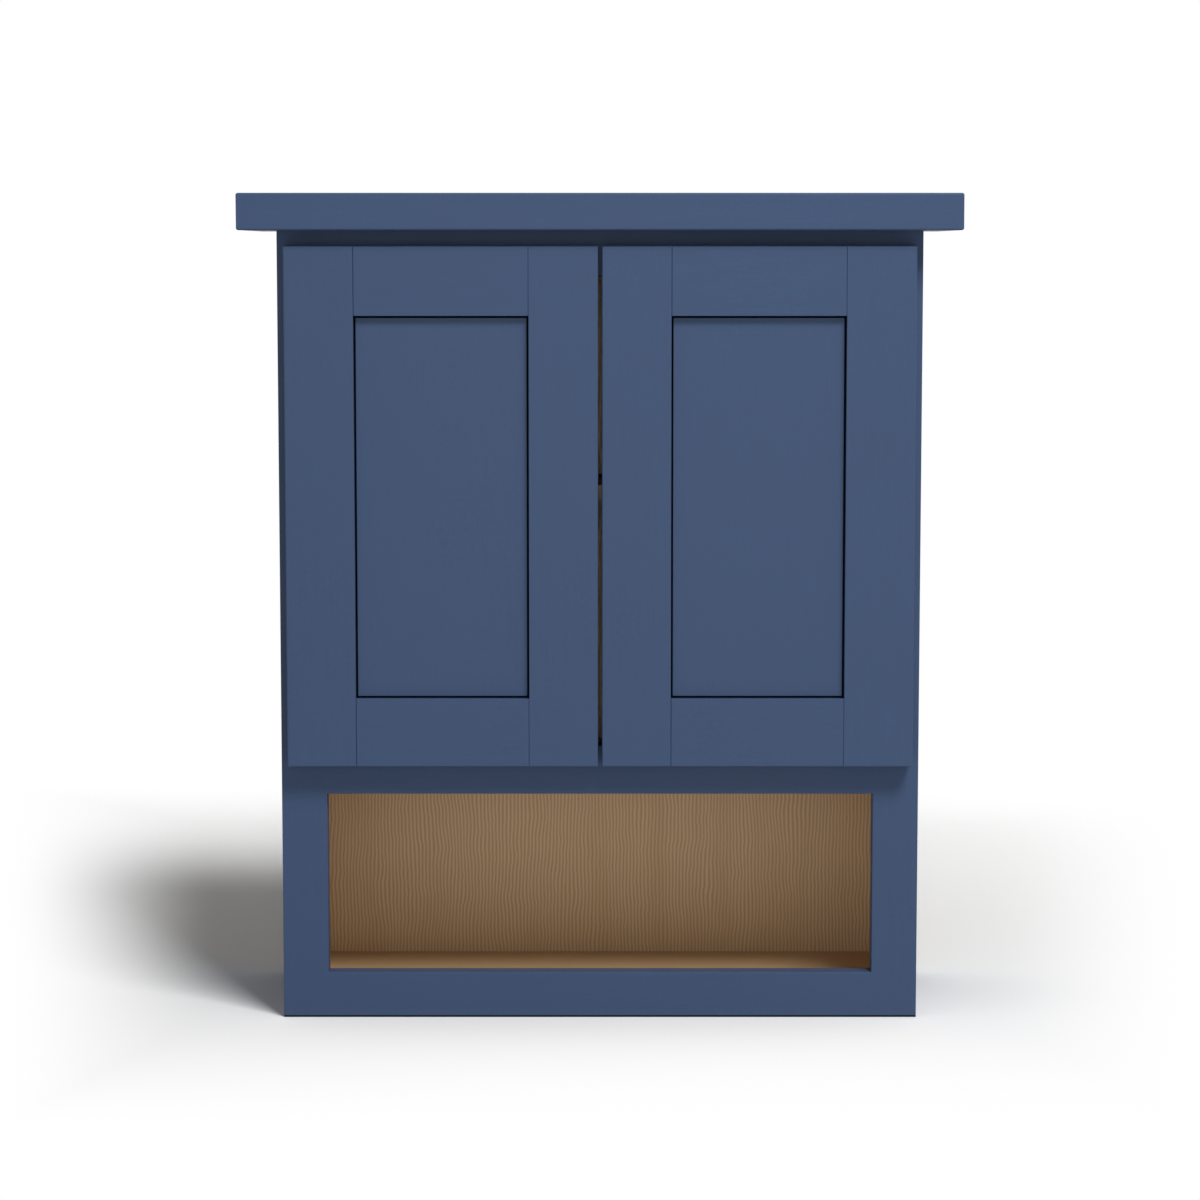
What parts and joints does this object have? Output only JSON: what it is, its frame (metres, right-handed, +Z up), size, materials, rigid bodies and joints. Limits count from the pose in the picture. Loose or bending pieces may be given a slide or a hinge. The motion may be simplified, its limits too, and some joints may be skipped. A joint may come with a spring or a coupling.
{
  "type": "wall-mounted bathroom cabinet",
  "caption": "Wall cabinet with a face frame, two overlay doors with recessed panels on concealed hinges, an open niche below and a square crown on top.",
  "frame": {"origin": "on the wall plane, in the middle of the width, at the bottom of the case", "axes": "+X to the right of a person who faces the cabinet, +Y into the wall, +Z up; the front faces -Y"},
  "size_m": [0.6784, 0.2376, 0.7892],
  "materials": {
    "blue_paint": "satin blue paint",
    "painted_sides": "satin blue paint outside, clear birch inside",
    "birch_interior": "clear satin birch plywood",
    "nickel_plate": "nickel plated",
    "hinge_steel": "bright steel",
    "clear_bumper": "soft translucent"
  },
  "bodies": {
    "case": {"left_side": "painted_sides", "right_side": "painted_sides", "top_panel": "birch_interior", "middle_panel": "birch_interior", "bottom_panel": "birch_interior", "back_panel": "birch_interior", "upper_hanging_rail": "birch_interior", "middle_hanging_rail": "birch_interior", "lower_hanging_rail": "birch_interior", "frame_left_stile": "blue_paint", "frame_right_stile": "blue_paint", "frame_top_rail": "blue_paint", "frame_middle_rail": "blue_paint", "frame_bottom_rail": "blue_paint", "crown_front": "blue_paint", "crown_left_return": "blue_paint", "crown_right_return": "blue_paint", "crown_screws": "nickel_plate", "shelf_pins": "nickel_plate", "left_upper_hinge_arm": "nickel_plate", "left_lower_hinge_arm": "nickel_plate", "right_upper_hinge_arm": "nickel_plate", "right_lower_hinge_arm": "nickel_plate", "left_arm_screws": "nickel_plate", "right_arm_screws": "nickel_plate"},
    "left_door": {"left_door_hinge_stile": "blue_paint", "left_door_free_stile": "blue_paint", "left_door_top_rail": "blue_paint", "left_door_bottom_rail": "blue_paint", "left_door_panel": "blue_paint", "left_door_bumpers": "clear_bumper", "left_upper_hinge_cup": "nickel_plate", "left_lower_hinge_cup": "nickel_plate", "left_hinge_pins": "hinge_steel", "left_cup_screws": "nickel_plate"},
    "right_door": {"right_door_hinge_stile": "blue_paint", "right_door_free_stile": "blue_paint", "right_door_top_rail": "blue_paint", "right_door_bottom_rail": "blue_paint", "right_door_panel": "blue_paint", "right_door_bumpers": "clear_bumper", "right_upper_hinge_cup": "nickel_plate", "right_lower_hinge_cup": "nickel_plate", "right_hinge_pins": "hinge_steel", "right_cup_screws": "nickel_plate"},
    "shelf": {"shelf": "birch_interior", "shelf_lipping": "birch_interior"}
  },
  "joints": [
    {"name": "left_door_swing", "type": "hinge", "parent": "case", "child": "left_door", "pos_m": [-0.289, -0.2156, 0.49365], "axis": [0, 0, -1], "range_deg": [0, 105]},
    {"name": "right_door_swing", "type": "hinge", "parent": "case", "child": "right_door", "pos_m": [0.289, -0.2156, 0.49365], "axis": [0, 0, 1], "range_deg": [0, 105]},
    {"name": "shelf_lift", "type": "slide", "parent": "case", "child": "shelf", "axis": [0, 0, 1], "range_m": [0, 0.235]}
  ]
}
